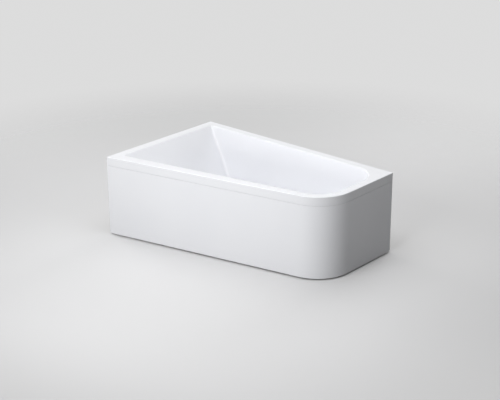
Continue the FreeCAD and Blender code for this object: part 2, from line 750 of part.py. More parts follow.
# Wall hangers
def make_hanger(side, along):
    """Bent bracket under the lip: plate on the wall, ledge under the lip, hook behind it."""
    half = HANGER_WIDTH / 2
    steel = HANGER_STEEL
    inner = ACRYLIC + HANGER_PLAY
    plate = box(Vector(-half, 0, LIP_BOTTOM - HANGER_DROP), Vector(half, steel, LIP_BOTTOM))
    ledge = box(Vector(-half, 0, LIP_BOTTOM - steel), Vector(half, inner + steel, LIP_BOTTOM))
    hook_top = Vector(half, inner + steel, LIP_BOTTOM + HANGER_HOOK)
    hook = box(Vector(-half, inner, LIP_BOTTOM - steel), hook_top)
    level = LIP_BOTTOM - HANGER_HOLE_DROP
    holes = []
    for offset in (-HANGER_HOLE_SPACING / 2, HANGER_HOLE_SPACING / 2):
        holes.append(rod(HANGER_HOLE_RADIUS, Vector(offset, -steel, level), Vector(offset, 2 * steel, level)))
    return placed(union([plate, ledge, hook]).cut(holes), side_place(side, along))


# Waste
def make_drain_flange():
    low = SEAT_Z + FLANGE_SEAL
    plate = rod(DRAIN_FLANGE_RADIUS, drain(low), drain(FLANGE_TOP))
    tail = rod(DRAIN_TAIL_RADIUS, drain(SEAT_Z - DRAIN_TAIL), drain(low))
    bore = rod(FLANGE_BORE, drain(SEAT_Z - DRAIN_TAIL), drain(FLANGE_TOP))
    sleeve = union([plate, tail]).cut(bore)
    sleeve = sleeve.makeChamfer(DRAIN_FLANGE_THICK / 2, flange_rim_edges(sleeve))
    level = SEAT_Z - GUIDE_DROP - GUIDE_THICK
    hub = rod(GUIDE_HUB_RADIUS, drain(level), drain(level + GUIDE_THICK))
    arms = []
    for turn in (0, 90):
        reach = DRAIN_TAIL_RADIUS - DRAIN_TAIL_WALL / 2
        arm = box(Vector(-reach, -GUIDE_ARM / 2, 0), Vector(reach, GUIDE_ARM / 2, GUIDE_THICK))
        arms.append(placed(arm, Placement(drain(level), Rotation(UP, turn))))
    guide = rod(STEM_RADIUS + RUNNING_GAP, drain(level), drain(level + GUIDE_THICK))
    return union([sleeve, hub] + arms).cut(guide)


def flange_rim_edges(shape):
    """Outer top edge of a round flange."""
    edges = []
    for edge in shape.Edges:
        level = edge.BoundBox.ZMin > FLANGE_TOP - SHARP_RADIUS / 2
        if level and edge.BoundBox.XLength > DRAIN_FLANGE_RADIUS + FLANGE_BORE:
            edges.append(edge)
    return edges


def make_drain_body():
    solid = [rod(CUP_FLANGE_RADIUS, drain(CUP_TOP - CUP_FLANGE), drain(CUP_TOP)),
             rod(CUP_RADIUS, drain(CUP_LOW), drain(CUP_TOP)),
             rod(TRAP_PIPE_RADIUS, drain(CUP_LOW - TRAP_SPOUT), drain(CUP_LOW)),
             rod(PIPE_RADIUS + WASTE_WALL, drain(INLET_Z), drain(INLET_Z, CUP_RADIUS + SOCKET_REACH)),
             rod(CABLE_GLAND_RADIUS, drain(CABLE_Z, 0, -CABLE_OFFSET),
                 drain(CABLE_Z, GLAND_END, -CABLE_OFFSET))]
    ceiling = CUP_TOP - CUP_COLLAR
    empty = [rod(CUP_ROOM, drain(CUP_LOW + WASTE_WALL), drain(ceiling)),
             rod(DRAIN_TAIL_RADIUS, drain(ceiling), drain(CUP_TOP)),
             rod(TRAP_PIPE_RADIUS - TRAP_PIPE_WALL, drain(CUP_LOW - TRAP_SPOUT), drain(CUP_LOW + WASTE_WALL)),
             rod(PIPE_RADIUS - PIPE_WALL, drain(INLET_Z), drain(INLET_Z, CUP_RADIUS + SOCKET_REACH)),
             rod(PIPE_RADIUS, drain(INLET_Z, INLET_STOP), drain(INLET_Z, CUP_RADIUS + SOCKET_REACH)),
             rod(CABLE_RADIUS, drain(CABLE_Z, 0, -CABLE_OFFSET), drain(CABLE_Z, GLAND_END, -CABLE_OFFSET)),
             make_lever_pin()]
    return union(solid).cut(empty)


def make_plug_cap():
    """Domed chrome cap, a revolved profile on the drain's axis."""
    low = FLANGE_TOP + PLUG_GAP
    edge = low + PLUG_RIM
    top = edge + PLUG_CROWN
    sphere = (PLUG_RADIUS ** 2 + PLUG_CROWN ** 2) / (2 * PLUG_CROWN)
    halfway = math.asin(PLUG_RADIUS / sphere) / 2
    rise = Vector(sphere * math.sin(halfway), 0, top - sphere + sphere * math.cos(halfway))
    outline = [Part.LineSegment(Vector(0, 0, low), Vector(PLUG_RADIUS, 0, low)).toShape(),
               Part.LineSegment(Vector(PLUG_RADIUS, 0, low), Vector(PLUG_RADIUS, 0, edge)).toShape(),
               Part.Arc(Vector(PLUG_RADIUS, 0, edge), rise, Vector(0, 0, top)).toShape(),
               Part.LineSegment(Vector(0, 0, top), Vector(0, 0, low)).toShape()]
    cap = Part.Face(Part.Wire(outline)).revolve(Vector(0, 0, 0), UP, 360)
    cap.translate(drain(0))
    return cap


def make_plug_seal():
    low = FLANGE_TOP + PLUG_GAP - PLUG_SEAL_HEIGHT
    outer = FLANGE_BORE - PLUG_SEAL_GAP
    return tube(outer, outer - PLUG_SEAL_WIDTH, drain(low), drain(FLANGE_TOP + PLUG_GAP))


def lever_tip():
    """Centre of the rocker's tip at rest, measured from the drain's axis."""
    x = LEVER_ARM * (1 - cos(LEVER_SWING))
    return drain(LEVER_Z - LEVER_ARM * sin(LEVER_SWING), x)


def make_stem():
    low = lever_tip().z + LEVER_TIP_RADIUS + PLUG_GAP
    return rod(STEM_RADIUS, drain(low), drain(FLANGE_TOP + PLUG_GAP))


def make_lever_pin():
    half = math.sqrt((CUP_RADIUS - WASTE_WALL / 2) ** 2 - LEVER_ARM ** 2)
    return rod(LEVER_PIN_RADIUS, drain(LEVER_Z, LEVER_ARM, -half), drain(LEVER_Z, LEVER_ARM, half))


def make_lever():
    """Rocker on its pin: a lift arm under the stem, a tail that balances it and a crank at the cable."""
    half = LEVER_WIDTH / 2
    near = -CRANK_EDGE
    hub_start = drain(LEVER_Z, LEVER_ARM, near)
    hub_end = drain(LEVER_Z, LEVER_ARM, max(LEVER_WIDTH, TAIL_WIDTH) / 2)
    hub = rod(LEVER_HUB_RADIUS, hub_start, hub_end)
    tip = lever_tip()
    tip_bar = rod(LEVER_TIP_RADIUS, tip - Vector(0, half, 0), tip + Vector(0, half, 0))
    thin = LEVER_THICK / 2
    arm = box(Vector(-LEVER_ARM, -half, -thin), Vector(0, half, thin))
    tail_low = Vector(0, -TAIL_WIDTH / 2, -TAIL_THICK / 2)
    tail = box(tail_low, Vector(TAIL_LENGTH, TAIL_WIDTH / 2, TAIL_THICK / 2))
    beam = Placement(drain(LEVER_Z, LEVER_ARM), Rotation(Vector(0, 1, 0), -LEVER_SWING))
    deep = LEVER_HUB_RADIUS + CRANK_LENGTH
    crank = box(Vector(-thin, near, -deep), Vector(thin, near + CRANK_WIDTH, 0))
    crank.translate(drain(LEVER_Z, LEVER_ARM))
    bore = rod(LEVER_PIN_RADIUS + RUNNING_GAP, hub_start, hub_end)
    return union([hub, tip_bar, placed(arm, beam), placed(tail, beam), crank]).cut(bore)


# Pipes, each a sweep along straight runs and arcs
def sweep(path, radius):
    """Solid of a round section along a path that starts at a point with a known direction."""
    start = path.Edges[0].valueAt(path.Edges[0].FirstParameter)
    heading = path.Edges[0].tangentAt(path.Edges[0].FirstParameter)
    circle = Part.Wire(Part.makeCircle(radius, start, heading))
    return Part.Wire(path).makePipeShell([circle], True, False)


def pipe(path, radius, bore):
    return sweep(path, radius).cut(sweep(path, bore))


def bent_path(start, corner, end, radius):
    """Two straight runs joined at a corner by a tangent arc."""
    before = (start - corner).normalize()
    after = (end - corner).normalize()
    half = before.getAngle(after) / 2
    entry = corner + before * (radius / math.tan(half))
    leave = corner + after * (radius / math.tan(half))
    middle = corner + (before + after).normalize() * (radius / math.sin(half) - radius)
    return Part.Wire([Part.LineSegment(start, entry).toShape(),
                      Part.Arc(entry, middle, leave).toShape(),
                      Part.LineSegment(leave, end).toShape()])


TRAP_TOP = CUP_LOW - TRAP_SPOUT
TRAP_ARC_Z = TRAP_TOP - TRAP_LEG
TRAP_BORE = TRAP_PIPE_RADIUS - TRAP_PIPE_WALL
TRAP_STEP = 2 * TRAP_BEND_RADIUS
NUT_TOP = TRAP_TOP + TRAP_SOCKET + UNION_NUT_LIP
OUTLET_Z = NUT_TOP + ELBOW_GAP + TRAP_BEND_RADIUS
OUTLET_END = WIDTH / 2 - OUTLET_SETBACK


def make_trap_bend():
    high = drain(TRAP_TOP)
    low = drain(TRAP_ARC_Z)
    bottom = drain(TRAP_ARC_Z - TRAP_BEND_RADIUS, 0, TRAP_BEND_RADIUS)
    rise = drain(TRAP_ARC_Z, 0, TRAP_STEP)
    path = Part.Wire([Part.LineSegment(high, low).toShape(),
                      Part.Arc(low, bottom, rise).toShape(),
                      Part.LineSegment(rise, drain(TRAP_TOP, 0, TRAP_STEP)).toShape()])
    bend = pipe(path, TRAP_PIPE_RADIUS, TRAP_BORE)
    sockets = []
    for step in (0.0, TRAP_STEP):
        low = drain(TRAP_TOP - UNION_NUT_SKIRT, 0, step)
        shoulder = tube(SOCKET_RADIUS, TRAP_PIPE_RADIUS, low, drain(TRAP_TOP + TRAP_SOCKET, 0, step))
        sockets.append(shoulder)
    return union([bend] + sockets)


def make_union_nut(step):
    """Ribbed nut over one socket of the trap."""
    low = drain(TRAP_TOP - UNION_NUT_SKIRT, 0, step)
    rim = drain(TRAP_TOP + TRAP_SOCKET, 0, step)
    top = drain(NUT_TOP, 0, step)
    outer = UNION_NUT_RADIUS
    solids = [rod(outer, low, top)]
    for index in range(UNION_RIBS):
        turn = 360 * index / UNION_RIBS
        reach = Vector(outer * cos(turn), outer * sin(turn), 0)
        solids.append(rod(UNION_RIB, low + reach, top + reach))
    return union(solids).cut([rod(SOCKET_RADIUS, low, rim), rod(TRAP_PIPE_RADIUS, rim, top)])


def make_outlet():
    start = drain(TRAP_TOP, 0, TRAP_STEP)
    corner = drain(OUTLET_Z, 0, TRAP_STEP)
    end = Vector(DRAIN_X, OUTLET_END, OUTLET_Z)
    run = pipe(bent_path(start, corner, end, TRAP_BEND_RADIUS), TRAP_PIPE_RADIUS, TRAP_BORE)
    stop = end - Vector(0, OUTLET_SPIGOT, 0)
    collar = tube(SOCKET_RADIUS, TRAP_BORE, stop - Vector(0, OUTLET_COLLAR, 0), stop)
    return union([run, collar])


# Overflow pieces, modelled in the overflow frame
def make_overflow_flange():
    front = -OVERFLOW_FLANGE_THICK
    end = SKIN + GASKET + OVERFLOW_THREAD
    plate = rod(OVERFLOW_FLANGE_RADIUS, Vector(0, 0, front), Vector(0, 0, 0))
    tail = rod(OVERFLOW_TAIL_RADIUS, Vector(0, 0, front), Vector(0, 0, end))
    bore = rod(OVERFLOW_TAIL_RADIUS - OVERFLOW_TAIL_WALL, Vector(0, 0, front), Vector(0, 0, end))
    return placed(union([plate, tail]).cut(bore), OVERFLOW_PLACE)


def make_overflow_gasket():
    low = Vector(0, 0, SKIN)
    high = Vector(0, 0, SKIN + GASKET)
    return placed(tube(OVERFLOW_BODY_FLANGE_RADIUS, OVERFLOW_HOLE, low, high), OVERFLOW_PLACE)


def make_overflow_body():
    front = SKIN + GASKET
    back = OVERFLOW_BACK
    mid = OVERFLOW_SPOUT_Z
    spout_end = -OVERFLOW_BODY_RADIUS - OVERFLOW_SPOUT
    bearing = SPINDLE_RADIUS + RUNNING_GAP
    gland_end = -GLAND_DROP
    flange_back = front + OVERFLOW_BODY_FLANGE
    solid = [rod(OVERFLOW_BODY_FLANGE_RADIUS, Vector(0, 0, front), Vector(0, 0, flange_back)),
             rod(OVERFLOW_BODY_RADIUS, Vector(0, 0, front), Vector(0, 0, back)),
             rod(PIPE_RADIUS + WASTE_WALL, Vector(0, 0, mid), Vector(0, spout_end, mid)),
             rod(CABLE_GLAND_RADIUS, Vector(-CABLE_OFFSET, 0, mid), Vector(-CABLE_OFFSET, gland_end, mid))]
    room = OVERFLOW_BODY_RADIUS - WASTE_WALL
    inner_back = back - WASTE_WALL
    empty = [rod(room, Vector(0, 0, front + OVERFLOW_THREAD), Vector(0, 0, inner_back)),
             rod(OVERFLOW_TAIL_RADIUS, Vector(0, 0, front), Vector(0, 0, front + OVERFLOW_THREAD)),
             rod(PIPE_RADIUS - PIPE_WALL, Vector(0, 0, mid), Vector(0, spout_end, mid)),
             rod(PIPE_RADIUS, Vector(0, spout_end + PIPE_SOCKET, mid), Vector(0, spout_end, mid)),
             rod(CABLE_RADIUS, Vector(-CABLE_OFFSET, 0, mid), Vector(-CABLE_OFFSET, gland_end, mid))]
    body = union(solid).cut(empty)
    boss = rod(bearing + BEARING_WALL, Vector(0, 0, back - BEARING_LENGTH), Vector(0, 0, back))
    bore = rod(bearing, Vector(0, 0, back - BEARING_LENGTH), Vector(0, 0, back))
    return placed(union([body, boss]).cut(bore), OVERFLOW_PLACE)


def make_spindle():
    front = -OVERFLOW_FLANGE_THICK - KNOB_GAP - KNOB_THICK + KNOB_WALL
    end = OVERFLOW_BACK + SPINDLE_END
    shaft = rod(SPINDLE_RADIUS, Vector(0, 0, front), Vector(0, 0, end))
    cam_z = OVERFLOW_SPOUT_Z - CAM_THICK / 2
    cam = rod(CAM_RADIUS, Vector(0, 0, cam_z), Vector(0, 0, cam_z + CAM_THICK))
    return placed(union([shaft, cam]), OVERFLOW_PLACE)


def make_knob():
    """Round cap with a bar grip, hollow at the back, on a hub round the spindle."""
    back = -OVERFLOW_FLANGE_THICK - KNOB_GAP
    front = back - KNOB_THICK
    cap = rod(KNOB_RADIUS, Vector(0, 0, back), Vector(0, 0, front))
    rim = [edge for edge in cap.Edges if edge.BoundBox.ZMax < front + KNOB_WALL / 2]
    cap = cap.makeFillet(KNOB_ROUND, rim)
    room = rod(KNOB_RADIUS - KNOB_WALL, Vector(0, 0, back), Vector(0, 0, front + KNOB_WALL))
    hub = rod(KNOB_HUB_RADIUS, Vector(0, 0, back), Vector(0, 0, front + KNOB_WALL / 2))
    reach = math.sqrt((KNOB_RADIUS - KNOB_ROUND) ** 2 - GRIP_WIDTH ** 2 / 4)
    grip = box(Vector(-GRIP_WIDTH / 2, -reach, front - GRIP_RISE), Vector(GRIP_WIDTH / 2, reach, front))
    grip_edges = [edge for edge in grip.Edges if edge.BoundBox.ZMin < front - GRIP_RISE / 2]
    grip = grip.makeFillet(GRIP_ROUND, grip_edges)
    shaft = rod(SPINDLE_RADIUS, Vector(0, 0, back), Vector(0, 0, front + KNOB_WALL))
    return placed(union([cap.cut(room), hub, grip]).cut(shaft), OVERFLOW_PLACE)


def down_to_drain(start, level, end):
    """Path down the foot wall's slope to a level, then along X to the drain."""
    drop = start.z - level
    corner = Vector(start.x - drop * tan(FOOT_LEAN), start.y, level)
    return bent_path(start, corner, end, PIPE_BEND_RADIUS)


def overflow_pipe_path():
    top = -OVERFLOW_BODY_RADIUS - OVERFLOW_SPOUT + PIPE_SOCKET
    start = OVERFLOW_PLACE.multVec(Vector(0, top, OVERFLOW_SPOUT_Z))
    return down_to_drain(start, INLET_Z, drain(INLET_Z, INLET_STOP))


def cable_path():
    start = OVERFLOW_PLACE.multVec(Vector(-CABLE_OFFSET, -GLAND_DROP + CABLE_GLAND, OVERFLOW_SPOUT_Z))
    return down_to_drain(start, CABLE_Z, drain(CABLE_Z, GLAND_END - CABLE_GLAND, -CABLE_OFFSET))


def cable_clip(share):
    """Band round the pipe and the cable, part of the way down the slope."""
    path = overflow_pipe_path().Edges[0]
    spot = path.valueAt(path.FirstParameter + share * (path.LastParameter - path.FirstParameter))
    local = OVERFLOW_PLACE.inverse().multVec(spot)
    low = Vector(0, local.y - CLIP_BAND / 2, local.z)
    high = Vector(0, local.y + CLIP_BAND / 2, local.z)
    aside = Vector(-CABLE_OFFSET, 0, 0)
    wall = CLIP_BAND_WALL
    bridge = box(Vector(-CABLE_OFFSET, low.y, local.z - wall), Vector(0, high.y, local.z + wall))
    cable_band = rod(CABLE_RADIUS + wall, low + aside, high + aside)
    whole = union([rod(PIPE_RADIUS + wall, low, high), bridge, cable_band])
    band = whole.cut([rod(PIPE_RADIUS, low, high), rod(CABLE_RADIUS, low + aside, high + aside)])
    return placed(band, OVERFLOW_PLACE)


def main():
    os.makedirs("parts", exist_ok=True)
    save("tub_shell", make_tub_shell())
    save("glassfibre_backing", make_backing())
    save("base_board", make_board())

    clips = clip_places()
    clip_screws = [placed(clip_screw(), place) for place in clips]
    front = batten("front", BATTEN_CORNER_GAP, FRONT_STRAIGHT - BATTEN_END_GAP)
    save("rim_batten_front", front.cut(clip_screws))
    foot = batten("foot", FOOT_CORNER_REACH + BATTEN_END_GAP, FOOT_SIDE - BATTEN_CORNER_GAP)
    save("rim_batten_foot", foot.cut(clip_screws))
    save("rim_batten_back", batten("back", BATTEN_CORNER_GAP, LENGTH - 2 * BATTEN_CORNER_GAP))
    save("rim_batten_head", batten("head", BATTEN_CORNER_GAP, WIDTH - BATTEN_CORNER_GAP))

    captive_nuts = []
    lock_nuts = []
    rail_screws = []
    for end in ("head", "foot"):
        save("support_rail_" + end, make_rail(end))
        rail_screws += rail_screw_set(end)
        for name in FOOT_NAMES:
            save("foot_stud_" + end + "_" + name, make_stud(end, name))
            save("foot_pad_" + end + "_" + name, make_pad(end, name))
            captive_nuts.append(foot_nut(end, name, web_top(end)))
            lock_nuts.append(foot_nut(end, name, web_low(end) - NUT_HEIGHT))
    save("rail_screws", Part.makeCompound(rail_screws))
    save("captive_nuts", Part.makeCompound(captive_nuts))
    save("lock_nuts", Part.makeCompound(lock_nuts))

    save("bath_panel", make_panel())
    save("panel_clips", Part.makeCompound([placed(make_clip(), place) for place in clips]))
    save("panel_clip_screws", Part.makeCompound(clip_screws))
    save("panel_hook_head", make_hook("head"))
    save("panel_hook_middle", make_hook("foot"))
    save("panel_stay_foot", make_stay())
    save("hook_bolts", Part.makeCompound(hook_bolt("head") + hook_bolt("foot") + hook_bolt("stay")))

    save("wall_hanger_back_right", make_hanger("back", BACK_HANGER_FROM_END))
    save("wall_hanger_back_left", make_hanger("back", LENGTH - BACK_HANGER_FROM_END))
    save("wall_hanger_head", make_hanger("head", HEAD_HANGER_FROM_BACK))

    seal_radius = DRAIN_FLANGE_RADIUS - FLANGE_SEAL
    save("drain_flange", make_drain_flange())
    save("drain_flange_seal", tube(seal_radius, DRAIN_HOLE, drain(SEAT_Z), drain(SEAT_Z + FLANGE_SEAL)))
    save("drain_gasket", tube(CUP_FLANGE_RADIUS, DRAIN_HOLE, drain(CUP_TOP), drain(BOSS_Z)))
    save("drain_body", make_drain_body())
    save("plug_cap", make_plug_cap())
    save("plug_seal", make_plug_seal())
    save("plug_stem", make_stem())
    save("lift_lever", make_lever())
    save("lever_pin", make_lever_pin())
    save("trap_bend", make_trap_bend())
    save("trap_inlet_nut", make_union_nut(0.0))
    save("trap_outlet_nut", make_union_nut(TRAP_STEP))
    save("outlet_pipe", make_outlet())

    save("overflow_flange", make_overflow_flange())
    save("overflow_gasket", make_overflow_gasket())
    save("overflow_body", make_overflow_body())
    save("overflow_knob", make_knob())
    save("overflow_spindle", make_spindle())
    save("overflow_pipe", pipe(overflow_pipe_path(), PIPE_RADIUS, PIPE_RADIUS - PIPE_WALL))
    save("control_cable", sweep(cable_path(), CABLE_RADIUS))
    save("cable_clips", Part.makeCompound([cable_clip(share) for share in CLIP_SHARES]))


main()
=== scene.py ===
# %% [markdown]
# Dressing an asymmetric bathtub
#
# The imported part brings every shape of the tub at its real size, in metres, with +X along the long
# straight side, +Y towards that side and +Z up. This lesson gives each piece the finish of the real
# one, builds the threaded studs and the nuts of the feet again in finer detail, and photographs the tub
# in a plain studio.

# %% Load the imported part
import math
import bmesh
import bpy
from mathutils import Matrix, Vector


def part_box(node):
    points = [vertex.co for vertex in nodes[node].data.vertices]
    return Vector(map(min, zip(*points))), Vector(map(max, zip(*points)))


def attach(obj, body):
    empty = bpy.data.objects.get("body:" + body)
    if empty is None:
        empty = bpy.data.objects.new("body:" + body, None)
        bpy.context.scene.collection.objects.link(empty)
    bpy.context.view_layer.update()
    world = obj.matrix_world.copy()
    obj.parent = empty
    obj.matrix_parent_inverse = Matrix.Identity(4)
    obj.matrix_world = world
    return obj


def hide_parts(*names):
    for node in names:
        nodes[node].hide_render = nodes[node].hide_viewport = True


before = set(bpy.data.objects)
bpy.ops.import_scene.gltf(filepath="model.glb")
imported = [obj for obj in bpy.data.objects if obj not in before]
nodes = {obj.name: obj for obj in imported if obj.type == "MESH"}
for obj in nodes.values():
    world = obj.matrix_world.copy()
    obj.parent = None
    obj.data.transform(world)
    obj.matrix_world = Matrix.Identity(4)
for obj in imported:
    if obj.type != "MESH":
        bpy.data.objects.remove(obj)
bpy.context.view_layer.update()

# %% [markdown]
# Tools for the finishes
#
# Every finish here is a Principled shader fed by textures that read Object coordinates. The objects
# sit at the origin, so those coordinates are plain metres and a pattern keeps its real scale. A few
# short helpers save repeating the same lines: they set or link the inputs of a node, and add a node or
# a group with its inputs.

# %% Helpers that add nodes
def give(tree, socket, value):
    """Set an input to a value, or link it where the value is an output socket."""
    if isinstance(value, bpy.types.NodeSocket):
        tree.links.new(value, socket)
    else:
        socket.default_value = value


def feed(tree, node, **inputs):
    """Set or link the inputs of a node by their names."""
    for name, value in inputs.items():
        give(tree, node.inputs[name.replace("_", " ")], value)
    return node


def add_node(tree, kind, **inputs):
    """Add a node and feed it."""
    return feed(tree, tree.nodes.new(kind), **inputs)


def add_group(tree, group, **inputs):
    """Place a group in a tree and feed it."""
    node = tree.nodes.new("ShaderNodeGroup")
    node.node_tree = group
    return feed(tree, node, **inputs)


print("node groups before the first one:", len(bpy.data.node_groups))

# %% [markdown]
# Shared effects as node groups
#
# Hardly any moulded, rolled or plated surface is equally shiny all over. The first group turns a
# noise into a value that wanders between two limits, which suits roughness. The second mixes two
# colours by a noise, for tone that drifts over a large sheet. The third is a mosaic of cells, each
# with a tone of its own: wood chips in a board and zinc crystals on steel are both such mosaics. The
# fourth is long fibres: one noise squeezed along a direction gives wood its grain.

# %% Group: a value that wanders between two limits
VECTOR, NUMBER, COLOUR = "NodeSocketVector", "NodeSocketFloat", "NodeSocketColor"


def new_group(name, inputs, outputs):
    """Shader node group with named sockets: it, what it is given and the node for what it makes."""
    group = bpy.data.node_groups.new(name, "ShaderNodeTree")
    for way, sockets in (("INPUT", inputs), ("OUTPUT", outputs)):
        for label, kind in sockets.items():
            group.interface.new_socket(name=label, in_out=way, socket_type=kind)
    print("group:", name)
    return group, group.nodes.new("NodeGroupInput").outputs, group.nodes.new("NodeGroupOutput")


wander, given, made = new_group("wandering value",
                                dict(Vector=VECTOR, Scale=NUMBER, Low=NUMBER, High=NUMBER),
                                dict(Value=NUMBER))
cloud = add_node(wander, "ShaderNodeTexNoise", Vector=given["Vector"], Scale=given["Scale"],
                 Detail=3.0, Roughness=0.55)
limits = add_node(wander, "ShaderNodeMapRange", Value=cloud.outputs["Fac"], From_Min=0.3, From_Max=0.7,
                  To_Min=given["Low"], To_Max=given["High"])
feed(wander, made, Value=limits.outputs["Result"])

# %% Group: two tones that drift over a surface
# A mix node has sockets of the same name for each kind, so they are picked by number.
MIX_INPUTS = {"FLOAT": (2, 3), "RGBA": (6, 7)}
MIX_OUTPUT = {"FLOAT": 0, "RGBA": 2}


def blend(tree, kind, share, first, second):
    """Output that goes from one value (FLOAT) or colour (RGBA) to another by a share from 0 to 1."""
    node = add_node(tree, "ShaderNodeMix")
    node.data_type = kind
    give(tree, node.inputs["Factor"], share)
    for index, value in zip(MIX_INPUTS[kind], (first, second)):
        give(tree, node.inputs[index], value)
    return node.outputs[MIX_OUTPUT[kind]]


drift, given, made = new_group("drifting tone",
                               dict(Vector=VECTOR, Scale=NUMBER, First=COLOUR, Second=COLOUR),
                               dict(Color=COLOUR))
cloud = add_node(drift, "ShaderNodeTexNoise", Vector=given["Vector"], Scale=given["Scale"], Detail=2.0)
share = add_node(drift, "ShaderNodeMapRange", Value=cloud.outputs["Fac"], From_Min=0.35, From_Max=0.65)
feed(drift, made, Color=blend(drift, "RGBA", share.outputs["Result"], given["First"], given["Second"]))

# %% Group: a mosaic of cells
mosaic, given, made = new_group("cell mosaic",
                                dict(Vector=VECTOR, Scale=NUMBER, Dark=COLOUR, Light=COLOUR),
                                dict(Color=COLOUR, Tone=NUMBER))
cells = add_node(mosaic, "ShaderNodeTexVoronoi", Vector=given["Vector"], Scale=given["Scale"], Randomness=1.0)
chance = add_node(mosaic, "ShaderNodeSeparateColor", Color=cells.outputs["Color"]).outputs
feed(mosaic, made, Color=blend(mosaic, "RGBA", chance["Red"], given["Dark"], given["Light"]),
     Tone=chance["Green"])


# %% Group: fibres along X
def add_math(tree, kind, operation, *values):
    """Add a math node of a kind, with its values in order."""
    node = tree.nodes.new(kind)
    node.operation = operation
    for socket, value in zip(node.inputs, values):
        give(tree, socket, value)
    return node


fibres, given, made = new_group("long fibres", dict(Vector=VECTOR, Along=NUMBER, Across=NUMBER),
                                dict(Strands=NUMBER))
stretch = add_node(fibres, "ShaderNodeCombineXYZ", X=given["Along"], Y=given["Across"], Z=given["Across"])
squeezed = add_math(fibres, "ShaderNodeVectorMath", "MULTIPLY", given["Vector"], stretch.outputs["Vector"])
strands = add_node(fibres, "ShaderNodeTexNoise", Vector=squeezed.outputs["Vector"], Scale=1.0, Detail=4.0,
                   Roughness=0.6, Distortion=0.3)
feed(fibres, made, Strands=strands.outputs["Fac"])

# %% [markdown]
# White sanitary acrylic
#
# The tub and its panel are cast acrylic sheet, heated and drawn into a mould. The sheet is dyed
# through and its face is glossy, with a very slight ripple that only shows in reflections. A plain
# white shader would look like plaster, so the gloss comes from a low roughness that wanders a little,
# and the ripple from a faint bump. The tone drifts by about one step in a hundred.

# %% Helpers that make a finish and put it on
def new_finish(name):
    """Material with a Principled shader: it, its tree, the shader and the object coordinates."""
    material = bpy.data.materials.new(name)
    material.use_nodes = True
    tree = material.node_tree
    place = tree.nodes.new("ShaderNodeTexCoord").outputs["Object"]
    return material, tree, tree.nodes["Principled BSDF"], place


def relief(tree, height, strength, depth):
    """Normal of a surface that a height raises by up to a depth in metres."""
    bump = add_node(tree, "ShaderNodeBump", Strength=strength, Distance=depth, Height=height)
    return bump.outputs["Normal"]


def dress(material, *names):
    """Give CAD nodes a finish."""
    for name in names:
        slots = nodes[name].data.materials
        slots.clear()
        slots.append(material)
    print(material.name, "on", len(names), "nodes")


print("materials before the first finish:", len(bpy.data.materials))

# %% Acrylic of the tub
ACRYLIC_TONES = dict(Scale=2.2, First=(0.875, 0.884, 0.915, 1), Second=(0.893, 0.901, 0.93, 1))
ACRYLIC_GLOSS = dict(Scale=7.0, Low=0.12, High=0.18)
ACRYLIC_IOR = 1.49
RIPPLE = dict(Scale=38.0, Detail=1.0)


def acrylic_face(tree, place):
    """Colour, roughness and ripple of acrylic sheet."""
    tone = add_group(tree, drift, Vector=place, **ACRYLIC_TONES)
    gloss = add_group(tree, wander, Vector=place, **ACRYLIC_GLOSS)
    ripple = add_node(tree, "ShaderNodeTexNoise", Vector=place, **RIPPLE)
    return tone.outputs["Color"], gloss.outputs["Value"], ripple.outputs["Fac"]


acrylic, tree, shader, place = new_finish("white_acrylic")
tone, gloss, ripple = acrylic_face(tree, place)
feed(tree, shader, Base_Color=tone, Roughness=gloss, IOR=ACRYLIC_IOR,
     Normal=relief(tree, ripple, strength=0.03, depth=0.001))
dress(acrylic, "tub_shell")

# %% [markdown]
# Glass-fibre laminate
#
# Behind the thin acrylic, resin and chopped glass strands are sprayed on and rolled down by hand.
# The back of a real tub shows the strands as a felt of short threads in every direction, set in
# honey-coloured resin with shinier puddles. Three runs of the fibre group, each turned another way,
# laid over each other by their brighter threads, make that felt. It covers the basin and the back of
# the panel, so it is a group of its own.

# %% Group: chopped strands in resin
STRAND_TURNS = ((0.3, 0.2, 0.4), (1.1, 0.5, 1.7), (2.2, 1.3, 2.7))
STRAND_SIZE = dict(Along=28.0, Across=420.0)
STRAND_COLOUR = (0.78, 0.76, 0.68, 1)
RESIN_TONES = dict(Scale=9.0, First=(0.50, 0.45, 0.31, 1), Second=(0.60, 0.56, 0.43, 1))
RESIN_GLOSS = dict(Scale=14.0, Low=0.22, High=0.6)


def larger(tree, first, second):
    """Output that is the larger of two values."""
    return add_math(tree, "ShaderNodeMath", "MAXIMUM", first, second).outputs["Value"]


felt, given, made = new_group("strand felt", dict(Vector=VECTOR),
                              dict(Color=COLOUR, Roughness=NUMBER, Height=NUMBER))
laid = None
for turn in STRAND_TURNS:
    turned = add_node(felt, "ShaderNodeMapping", Vector=given["Vector"], Rotation=turn)
    run = add_group(felt, fibres, Vector=turned.outputs["Vector"], **STRAND_SIZE).outputs["Strands"]
    laid = run if laid is None else larger(felt, laid, run)
threads = add_node(felt, "ShaderNodeMapRange", Value=laid, From_Min=0.48, From_Max=0.74)
puddles = add_group(felt, drift, Vector=given["Vector"], **RESIN_TONES)
wet = add_group(felt, wander, Vector=given["Vector"], **RESIN_GLOSS)
feed(felt, made, Roughness=wet.outputs["Value"], Height=laid,
     Color=blend(felt, "RGBA", threads.outputs["Result"], puddles.outputs["Color"], STRAND_COLOUR))

# %% Laminate on the back of the basin
FELT_RELIEF = dict(strength=0.5, depth=0.0015)

laminate, tree, shader, place = new_finish("glass_fibre_laminate")
strands = add_group(tree, felt, Vector=place).outputs
feed(tree, shader, Base_Color=strands["Color"], Roughness=strands["Roughness"],
     Normal=relief(tree, strands["Height"], **FELT_RELIEF))
dress(laminate, "glassfibre_backing")

# %% [markdown]
# The panel's two faces
#
# The panel is the same acrylic outside and laminate inside. Its solid is one piece, so one material has
# to tell the two faces apart. Painting faces by hand would change the mesh; instead the surface's own
# direction is compared with the direction away from the middle of the tub. Where they point against
# each other, the surface looks inwards and shows the laminate.

